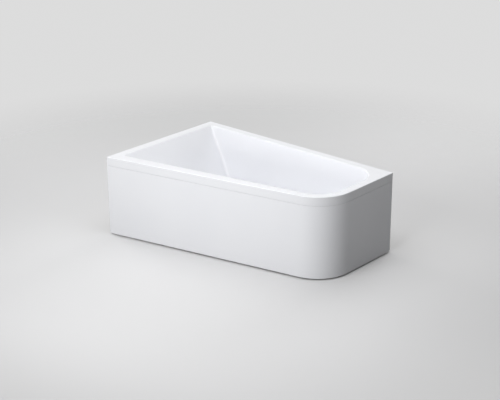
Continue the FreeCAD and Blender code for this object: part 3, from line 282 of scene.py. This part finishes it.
# %% Acrylic in front, laminate behind
SIDEWAYS = (1.0, 1.0, 0.0)
LOOKS_INWARDS = dict(From_Min=-0.02, From_Max=-0.1)
RIPPLE_BESIDE_FELT = 0.04

panel, tree, shader, place = new_finish("panel_acrylic_and_laminate")
away = add_math(tree, "ShaderNodeVectorMath", "MULTIPLY", place, SIDEWAYS).outputs["Vector"]
facing = add_math(tree, "ShaderNodeVectorMath", "DOT_PRODUCT", away, place.node.outputs["Normal"])
inner = add_node(tree, "ShaderNodeMapRange", Value=facing.outputs["Value"], **LOOKS_INWARDS).outputs["Result"]
tone, gloss, ripple = acrylic_face(tree, place)
faint = add_node(tree, "ShaderNodeMapRange", Value=ripple, To_Max=RIPPLE_BESIDE_FELT).outputs["Result"]
strands = add_group(tree, felt, Vector=place).outputs
height = blend(tree, "FLOAT", inner, faint, strands["Height"])
feed(tree, shader, IOR=ACRYLIC_IOR, Base_Color=blend(tree, "RGBA", inner, tone, strands["Color"]),
     Roughness=blend(tree, "FLOAT", inner, gloss, strands["Roughness"]),
     Normal=relief(tree, height, **FELT_RELIEF))
dress(panel, "bath_panel")

# %% [markdown]
# Board and battens
#
# The board under the floor is particle board: flat chips of many browns pressed together. The cell
# mosaic, squeezed so that the cells become flakes, gives the chips. The battens under the rim are
# planed softwood, whose grain runs along each stick, so the fibre group is turned to the direction of
# the side that the stick belongs to.

# %% Particle board
CHIP_SQUEEZE = (1.0, 2.1, 4.0)
CHIPS = dict(Scale=120.0, Dark=(0.30, 0.20, 0.10, 1), Light=(0.62, 0.47, 0.29, 1))
BOARD_GLOSS = dict(Scale=30.0, Low=0.65, High=0.85)

board, tree, shader, place = new_finish("particle_board")
flat = add_node(tree, "ShaderNodeMapping", Vector=place, Scale=CHIP_SQUEEZE)
chips = add_group(tree, mosaic, Vector=flat.outputs["Vector"], **CHIPS).outputs
dry = add_group(tree, wander, Vector=place, **BOARD_GLOSS)
feed(tree, shader, Base_Color=chips["Color"], Roughness=dry.outputs["Value"],
     Normal=relief(tree, chips["Tone"], strength=0.35, depth=0.0008))
dress(board, "base_board")

# %% Softwood battens, one finish for each direction
RINGS = dict(Along=1.6, Across=75.0)
HAIRS = dict(Along=12.0, Across=900.0)
EARLY_WOOD = (0.70, 0.52, 0.31, 1)
LATE_WOOD = (0.47, 0.29, 0.13, 1)
WOOD_GLOSS = dict(Scale=25.0, Low=0.5, High=0.7)
FRONT_SLANT = 12.2


def softwood(name, heading):
    """Planed softwood whose grain runs at a heading in degrees from +X."""
    material, tree, shader, place = new_finish(name)
    turned = add_node(tree, "ShaderNodeMapping", Vector=place, Rotation=(0, 0, math.radians(-heading)))
    along = turned.outputs["Vector"]
    rings = add_group(tree, fibres, Vector=along, **RINGS).outputs["Strands"]
    hairs = add_group(tree, fibres, Vector=along, **HAIRS).outputs["Strands"]
    late = add_node(tree, "ShaderNodeMapRange", Value=rings, From_Min=0.35, From_Max=0.68)
    dry = add_group(tree, wander, Vector=place, **WOOD_GLOSS)
    feed(tree, shader, Base_Color=blend(tree, "RGBA", late.outputs["Result"], EARLY_WOOD, LATE_WOOD),
         Roughness=dry.outputs["Value"], Normal=relief(tree, hairs, strength=0.25, depth=0.0004))
    return material


dress(softwood("softwood_along_back", heading=0.0), "rim_batten_back")
dress(softwood("softwood_along_front", heading=FRONT_SLANT), "rim_batten_front")
dress(softwood("softwood_across", heading=90.0), "rim_batten_head", "rim_batten_foot")

# %% [markdown]
# Steel
#
# Rails, clips, hooks and hangers are pressed from hot-dipped sheet. The zinc freezes into crystals of a
# centimetre or so, each a slightly different grey and gloss. Bolts, nuts, screws and studs are plated
# instead: a fine even zinc with a faint yellow and blue cast. A plain grey would do for one small
# screw, but the crystals are what tells sheet from plating. Plating, chrome and brass differ only in
# tones and gloss, so one function makes all three.

# %% Galvanised sheet
CRYSTALS = dict(Scale=95.0, Dark=(0.50, 0.52, 0.54, 1), Light=(0.66, 0.68, 0.69, 1))
CRYSTAL_GLOSS = dict(To_Min=0.28, To_Max=0.46)

galvanised, tree, shader, place = new_finish("galvanised_sheet")
crystals = add_group(tree, mosaic, Vector=place, **CRYSTALS).outputs
gloss = add_node(tree, "ShaderNodeMapRange", Value=crystals["Tone"], **CRYSTAL_GLOSS)
feed(tree, shader, Metallic=1.0, Base_Color=crystals["Color"], Roughness=gloss.outputs["Result"])
dress(galvanised, "support_rail_head", "support_rail_foot", "panel_clips", "panel_hook_head",
      "panel_hook_middle", "panel_stay_foot", "wall_hanger_back_left", "wall_hanger_back_right",
      "wall_hanger_head")


# %% Plated fasteners
def metal(name, tones, gloss):
    """Metal with two tones and two limits of roughness, each pair with the scale of its noise."""
    material, tree, shader, place = new_finish(name)
    tint = add_group(tree, drift, Vector=place, **tones)
    haze = add_group(tree, wander, Vector=place, **gloss)
    feed(tree, shader, Metallic=1.0, Base_Color=tint.outputs["Color"], Roughness=haze.outputs["Value"])
    return material


plated = metal("plated_fastener",
               dict(Scale=160.0, First=(0.66, 0.64, 0.56, 1), Second=(0.62, 0.65, 0.70, 1)),
               dict(Scale=420.0, Low=0.22, High=0.36))
dress(plated, "rail_screws", "panel_clip_screws", "hook_bolts", "captive_nuts", "lock_nuts",
      "foot_stud_head_front", "foot_stud_head_back", "foot_stud_foot_front", "foot_stud_foot_back")

# %% [markdown]
# Moulded plastic and rubber
#
# The foot pads are black nylon with a fine spark-eroded texture. Waste, trap and pipes are white
# polypropylene, satin from the mould and very slightly wavy. Seals and the cable's sheath are dark and
# dull. One function makes them all: only the tones, the gloss and the grain differ.

# %% Moulded finishes
MOULDED_DRIFT = 26.0
MOULDED_WANDER = 60.0


def moulded(name, tones, low, high, grain, depth):
    """Moulded plastic or rubber: two tones, roughness limits, grains per metre and their depth."""
    material, tree, shader, place = new_finish(name)
    tone = add_group(tree, drift, Vector=place, Scale=MOULDED_DRIFT, First=tones[0], Second=tones[1])
    gloss = add_group(tree, wander, Vector=place, Scale=MOULDED_WANDER, Low=low, High=high)
    texture = add_node(tree, "ShaderNodeTexNoise", Vector=place, Scale=grain, Detail=2.0)
    feed(tree, shader, Base_Color=tone.outputs["Color"], Roughness=gloss.outputs["Value"],
         Normal=relief(tree, texture.outputs["Fac"], strength=0.3, depth=depth))
    return material


NYLON_TONES = ((0.018, 0.018, 0.02, 1), (0.03, 0.03, 0.032, 1))
POLYPROPYLENE_TONES = ((0.74, 0.74, 0.715, 1), (0.79, 0.79, 0.77, 1))
RUBBER_TONES = ((0.02, 0.02, 0.02, 1), (0.035, 0.034, 0.033, 1))
SHEATH_TONES = ((0.06, 0.06, 0.065, 1), (0.085, 0.085, 0.09, 1))

dress(moulded("black_nylon", NYLON_TONES, low=0.45, high=0.6, grain=1500.0, depth=0.0003),
      "foot_pad_head_front", "foot_pad_head_back", "foot_pad_foot_front", "foot_pad_foot_back")
dress(moulded("white_polypropylene", POLYPROPYLENE_TONES, low=0.32, high=0.45, grain=240.0, depth=0.0003),
      "drain_body", "trap_bend", "trap_inlet_nut", "trap_outlet_nut", "outlet_pipe", "overflow_body",
      "overflow_pipe", "lift_lever", "cable_clips")
dress(moulded("black_rubber", RUBBER_TONES, low=0.6, high=0.8, grain=900.0, depth=0.0002),
      "drain_flange_seal", "drain_gasket", "plug_seal", "overflow_gasket")
dress(moulded("cable_sheath", SHEATH_TONES, low=0.4, high=0.5, grain=700.0, depth=0.0002), "control_cable")

# %% [markdown]
# Chrome and brass
#
# What the bather sees of the waste and the overflow is polished chrome: nearly a mirror, with a
# breath of haze where it is wiped. The stem, the spindle and the pin behind it are turned brass. Both
# come from the function that made the plating, because a mirror only needs a lower roughness.

# %% Chrome and brass
chrome = metal("polished_chrome",
               dict(Scale=40.0, First=(0.78, 0.79, 0.81, 1), Second=(0.82, 0.83, 0.84, 1)),
               dict(Scale=90.0, Low=0.04, High=0.11))
dress(chrome, "drain_flange", "plug_cap", "overflow_flange", "overflow_knob")

brass = metal("turned_brass",
              dict(Scale=120.0, First=(0.60, 0.42, 0.17, 1), Second=(0.66, 0.48, 0.22, 1)),
              dict(Scale=500.0, Low=0.2, High=0.34))
dress(brass, "overflow_spindle", "plug_stem", "lever_pin")

# %% [markdown]
# Threaded studs
#
# Each foot is a screwed rod in a plastic pad. A thread could be painted on with bump, but then its
# outline stays straight, so it is cut into the mesh. One notch of the thread, a few vertices, is spun
# once round the axis while it rises by one pitch. That turn is copied on top of itself until the rod is
# long enough, the turns are merged, and the ragged ends are cut off flat and filled. The thread stays
# inside the rod of the bare part, which it replaces.

# %% Helper that turns a shape into a piece
SHARP_ANGLE = math.radians(30.0)


def add_piece(name, shape, finish, body, node):
    """Piece made from a bmesh, which rides on a body in place of a CAD node."""
    bmesh.ops.recalc_face_normals(shape, faces=shape.faces)
    mesh = bpy.data.meshes.new(name)
    for face in shape.faces:
        face.smooth = True
    shape.to_mesh(mesh)
    shape.free()
    mesh.set_sharp_from_angle(angle=SHARP_ANGLE)
    mesh.materials.append(finish)
    piece = bpy.data.objects.new(name, mesh)
    bpy.context.scene.collection.objects.link(piece)
    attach(piece, body)
    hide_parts(node)
    print(name, "for", node, "faces:", len(mesh.polygons))


print("edges sharper than", round(math.degrees(SHARP_ANGLE)), "degrees stay sharp")

# %% Helpers that cut a shape flat
CUT_TOLERANCE = 1e-7


def whole(shape):
    """All of a bmesh, as bisect_plane and duplicate want it."""
    return shape.verts[:] + shape.edges[:] + shape.faces[:]


def cut_flat(shape, point, out):
    """Cut off what lies beyond a plane and close the cut."""
    cut = bmesh.ops.bisect_plane(shape, geom=whole(shape), dist=CUT_TOLERANCE, plane_co=point, plane_no=out,
                                 clear_outer=True)
    edges = [item for item in cut["geom_cut"] if isinstance(item, bmesh.types.BMEdge)]
    bmesh.ops.holes_fill(shape, edges=edges, sides=0)


print("a cut keeps vertices within", CUT_TOLERANCE, "m of its plane")

# %% Threaded studs of the four feet
THREAD_PITCH = 0.0015
THREAD_DEPTH = 0.0009
THREAD_MERGE = THREAD_PITCH / 200
STEPS_PER_TURN = 20
# Each point of the notch has a share of the pitch and a share of the depth.
NOTCH = ((0.0, 0.0), (0.1, 0.0), (0.45, 1.0), (0.65, 1.0), (1.0, 0.0))
FEET = ("head_front", "head_back", "foot_front", "foot_back")


def threaded_rod(low, high):
    """Rod with a thread that fills the box between two corners."""
    shape = bmesh.new()
    radius = (high.x - low.x) / 2
    root = radius - THREAD_DEPTH
    outline = [shape.verts.new((root + rise * THREAD_DEPTH, 0.0, low.z + (share - 1) * THREAD_PITCH))
               for share, rise in NOTCH]
    edges = [shape.edges.new(pair) for pair in zip(outline, outline[1:])]
    bmesh.ops.spin(shape, geom=outline + edges, axis=(0, 0, 1), cent=(0, 0, 0), angle=math.tau,
                   steps=STEPS_PER_TURN, dvec=(0, 0, THREAD_PITCH / STEPS_PER_TURN))
    reach = THREAD_PITCH
    while reach < high.z - low.z + 2 * THREAD_PITCH:
        copy = bmesh.ops.duplicate(shape, geom=whole(shape))["geom"]
        verts = [item for item in copy if isinstance(item, bmesh.types.BMVert)]
        bmesh.ops.translate(shape, verts=verts, vec=(0, 0, reach))
        reach *= 2
    bmesh.ops.remove_doubles(shape, verts=shape.verts, dist=THREAD_MERGE)
    cut_flat(shape, (0, 0, low.z), (0, 0, -1))
    cut_flat(shape, (0, 0, high.z), (0, 0, 1))
    bmesh.ops.translate(shape, verts=shape.verts, vec=((low.x + high.x) / 2, (low.y + high.y) / 2, 0))
    return shape


for foot in FEET:
    stud = "foot_stud_" + foot
    add_piece("threaded_stud_" + foot, threaded_rod(*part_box(stud)), plated, "foot_" + foot, stud)

# %% [markdown]
# Hexagon nuts
#
# A pressed nut has a turned chamfer on both faces, which leaves a curved edge on each of its six flats.
# Beveling a hexagon can't give those curves. Here the nut is made in the order of the real one: a
# turned ring with chamfers is spun first, and the six flats are then cut off it.

# %% One nut
NUT_FLATS = 0.017
NUT_HEIGHT = 0.008
FACE_RADIUS_PER_FLATS = 0.47
NUT_CHAMFER = math.radians(30.0)
NUT_SIDES = 6
NUT_STEPS = 60
BORE_CHAMFER = 0.0006
BORE_CLEARANCE = 0.0002


def hexagon_nut(bore):
    """Nut with turned chamfers, round a bore of the given radius, standing on the origin."""
    shape = bmesh.new()
    corner = NUT_FLATS / 2 / math.cos(math.pi / NUT_SIDES)
    face = NUT_FLATS * FACE_RADIUS_PER_FLATS
    slope = (corner - face) * math.tan(NUT_CHAMFER)
    half = [(bore, BORE_CHAMFER), (bore + BORE_CHAMFER, 0.0), (face, 0.0), (corner, slope)]
    outline = [shape.verts.new((reach, 0.0, level)) for reach, level in half]
    outline += [shape.verts.new((reach, 0.0, NUT_HEIGHT - level)) for reach, level in reversed(half)]
    edges = [shape.edges.new((outline[index - 1], outline[index])) for index in range(len(outline))]
    bmesh.ops.spin(shape, geom=outline + edges, axis=(0, 0, 1), cent=(0, 0, 0), angle=math.tau,
                   steps=NUT_STEPS, use_merge=True)
    for index in range(NUT_SIDES):
        heading = (index + 0.5) * math.tau / NUT_SIDES
        out = Vector((math.cos(heading), math.sin(heading), 0.0))
        cut_flat(shape, out * NUT_FLATS / 2, out)
    return shape


print("nut:", NUT_FLATS, "m over the flats,", NUT_HEIGHT, "m high")


# %% Nuts above and below the rails
def nut_set(levels):
    """Four nuts in one bmesh, each round its own stud at its own level."""
    together = bmesh.new()
    for foot in FEET:
        low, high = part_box("foot_stud_" + foot)
        shape = hexagon_nut((high.x - low.x) / 2 + BORE_CLEARANCE)
        spot = ((low.x + high.x) / 2, (low.y + high.y) / 2, levels[foot.split("_")[0]])
        bmesh.ops.translate(shape, verts=shape.verts, vec=spot)
        single = bpy.data.meshes.new("nut")
        shape.to_mesh(single)
        shape.free()
        together.from_mesh(single)
        bpy.data.meshes.remove(single)
    return together


web_low = {end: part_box("support_rail_" + end)[0].z for end in ("head", "foot")}
rail_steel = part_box("captive_nuts")[0].z - min(web_low.values())
above = {end: level + rail_steel for end, level in web_low.items()}
below = {end: level - NUT_HEIGHT for end, level in web_low.items()}
add_piece("hexagon_nuts_captive", nut_set(above), plated, "tub", "captive_nuts")
add_piece("hexagon_nuts_lock", nut_set(below), plated, "tub", "lock_nuts")

# %% [markdown]
# Studio floor
#
# A plain pale floor carries the tub's shadow. Seen by the camera or in a reflection it is pale, but
# the light that it throws back on the tub is that of a darker floor, so the shaded end keeps its depth.
# A floor that goes on for ever shows a bright patch at each lamp and a dark horizon, so this one fades
# into the backdrop with its distance from the tub. From below it is clear, so the underside of the
# tub can be looked at too.

# %% Floor sheet
FLOOR_REACH = 6.0

floor_mesh = bpy.data.meshes.new("studio_floor")
shape = bmesh.new()
bmesh.ops.create_grid(shape, x_segments=1, y_segments=1, size=FLOOR_REACH)
shape.to_mesh(floor_mesh)
shape.free()
floor = bpy.data.objects.new("studio_floor", floor_mesh)
bpy.context.scene.collection.objects.link(floor)
print("floor", floor.dimensions[:2])

# %% Floor paint
FLOOR_THROWN_BACK = (0.10, 0.10, 0.10, 1)
FLOOR_SEEN = (0.72, 0.72, 0.725, 1)
FLOOR_FADE = dict(From_Min=1.3, From_Max=4.0)


def seen_rays(tree):
    """Output that is 1 for rays from the camera, from a reflection or through something clear."""
    ray = tree.nodes.new("ShaderNodeLightPath").outputs
    seen = ray["Is Camera Ray"]
    for other in ("Is Glossy Ray", "Is Transmission Ray"):
        seen = larger(tree, seen, ray[other])
    return seen


floor_paint, tree, shader, place = new_finish("floor_paint")
tree.nodes.remove(shader)
tone = blend(tree, "RGBA", seen_rays(tree), FLOOR_THROWN_BACK, FLOOR_SEEN)
paint = add_node(tree, "ShaderNodeBsdfDiffuse", Color=tone)
clear = add_node(tree, "ShaderNodeBsdfTransparent")
distance = add_math(tree, "ShaderNodeVectorMath", "LENGTH", place)
fade = add_node(tree, "ShaderNodeMapRange", Value=distance.outputs["Value"], **FLOOR_FADE)
fade.interpolation_type = "SMOOTHSTEP"
below_floor = add_node(tree, "ShaderNodeNewGeometry").outputs["Backfacing"]
pick = add_node(tree, "ShaderNodeMixShader", Fac=larger(tree, fade.outputs["Result"], below_floor))
give(tree, pick.inputs[1], paint.outputs["BSDF"])
give(tree, pick.inputs[2], clear.outputs["BSDF"])
feed(tree, tree.nodes["Material Output"], Surface=pick.outputs["Shader"])
floor_mesh.materials.append(floor_paint)
print(floor_paint.name, "fades between", FLOOR_FADE["From_Min"], "and", FLOOR_FADE["From_Max"], "m")

# %% [markdown]
# Light
#
# The tub is lit as in a catalogue, by soft windows. The main one fills the ceiling and reaches the rim
# and the floor of the basin. One close in front, higher than the rim, draws the panel's fade from top
# to bottom and the bright line in the corner of the basin, and a long low strip further off lifts the
# panel without blinding the basin behind it. Small ones over the foot, at the back and at the head keep
# the sides that turn away from going flat. A single large lamp would be simpler, but it leaves either
# the basin or the front dark. The ceiling, the back and the head windows light the tub without being
# mirrored in it, because from the foot or from above their reflection would burn out the flat rim. The
# air adds a little light from all around, and shows as a pale backdrop to the camera and in reflections.

# %% Window light
TUB_MIDDLE = Vector((0.0, 0.0, 0.3))


def window(name, offset, size, power, spread=180.0, mirrored=True):
    """Soft light that looks at the middle of the tub; a smaller spread keeps it off the floor."""
    lamp = bpy.data.lights.new(name, "AREA")
    lamp.shape = "RECTANGLE"
    lamp.size, lamp.size_y = size
    lamp.energy = power
    lamp.spread = math.radians(spread)
    holder = bpy.data.objects.new(name, lamp)
    holder.location = TUB_MIDDLE + Vector(offset)
    holder.rotation_euler = (-Vector(offset)).to_track_quat("-Z", "Y").to_euler()
    holder.visible_glossy = mirrored
    bpy.context.scene.collection.objects.link(holder)
    print(name, [round(value, 2) for value in holder.location], power, "W")


window("ceiling_window", offset=(-0.6, 0.2, 4.6), size=(5.4, 5.4), power=122.0, mirrored=False)
window("near_window", offset=(0.3, -2.4, 1.5), size=(2.4, 0.9), power=15.6, spread=120.0)
window("front_window", offset=(0.1, -4.65, 0.5), size=(3.6, 1.4), power=25.4, spread=100.0)
window("foot_window", offset=(1.9, -0.3, 2.2), size=(1.2, 1.2), power=9.5)
window("back_window", offset=(-0.4, 4.6, 1.6), size=(2.2, 2.2), power=25.0, spread=90.0, mirrored=False)
window("head_window", offset=(-4.6, 0.2, 1.6), size=(2.2, 2.2), power=17.5, spread=90.0, mirrored=False)

# %% Surrounding light
AIR_LIGHT = 0.155
BACKDROP = 0.72

world = bpy.data.worlds.new("studio_air")
bpy.context.scene.world = world
world.use_nodes = True
tree = world.node_tree
strength = add_node(tree, "ShaderNodeMapRange", Value=seen_rays(tree), To_Min=AIR_LIGHT, To_Max=BACKDROP)
feed(tree, tree.nodes["Background"], Color=(1.0, 1.0, 1.0, 1), Strength=strength.outputs["Result"])
print(world.name, "lights with", AIR_LIGHT, "and shows as", BACKDROP)

# %% [markdown]
# Camera
#
# The camera stands where the photograph was taken from: to the right in front of the tub, well above
# the rim, with a long lens. Its place and its three angles, in radians, come from fitting the tub's
# straight edges. Placing it by eye would be quicker, but then the edges don't fall on those of the
# photograph.

# %% Camera
SENSOR_WIDTH = 36.0
FOCAL_LENGTH = 87.52
SHIFT_SIDEWAYS = -0.004
FARTHEST_SEEN = 200.0
CAMERA_PLACE = (4.9539, -5.4933, 3.2644)
YAW, PITCH, ROLL = -0.7296, 0.3803, -0.0043

lens = bpy.data.cameras.new("camera")
lens.sensor_width = SENSOR_WIDTH
lens.lens = FOCAL_LENGTH
lens.shift_x = SHIFT_SIDEWAYS
lens.clip_end = FARTHEST_SEEN
camera = bpy.data.objects.new("camera", lens)
ahead = Vector((math.sin(YAW) * math.cos(PITCH), math.cos(YAW) * math.cos(PITCH), -math.sin(PITCH)))
right = Vector((math.cos(YAW), -math.sin(YAW), 0.0))
up = right.cross(ahead)
turn = Matrix((right, up, -ahead)).transposed() @ Matrix.Rotation(ROLL, 3, "Z")
camera.matrix_world = Matrix.Translation(CAMERA_PLACE) @ turn.to_4x4()
bpy.context.scene.collection.objects.link(camera)
bpy.context.scene.camera = camera
bpy.context.scene.view_settings.view_transform = "Standard"
print("camera at", [round(value, 3) for value in camera.location])
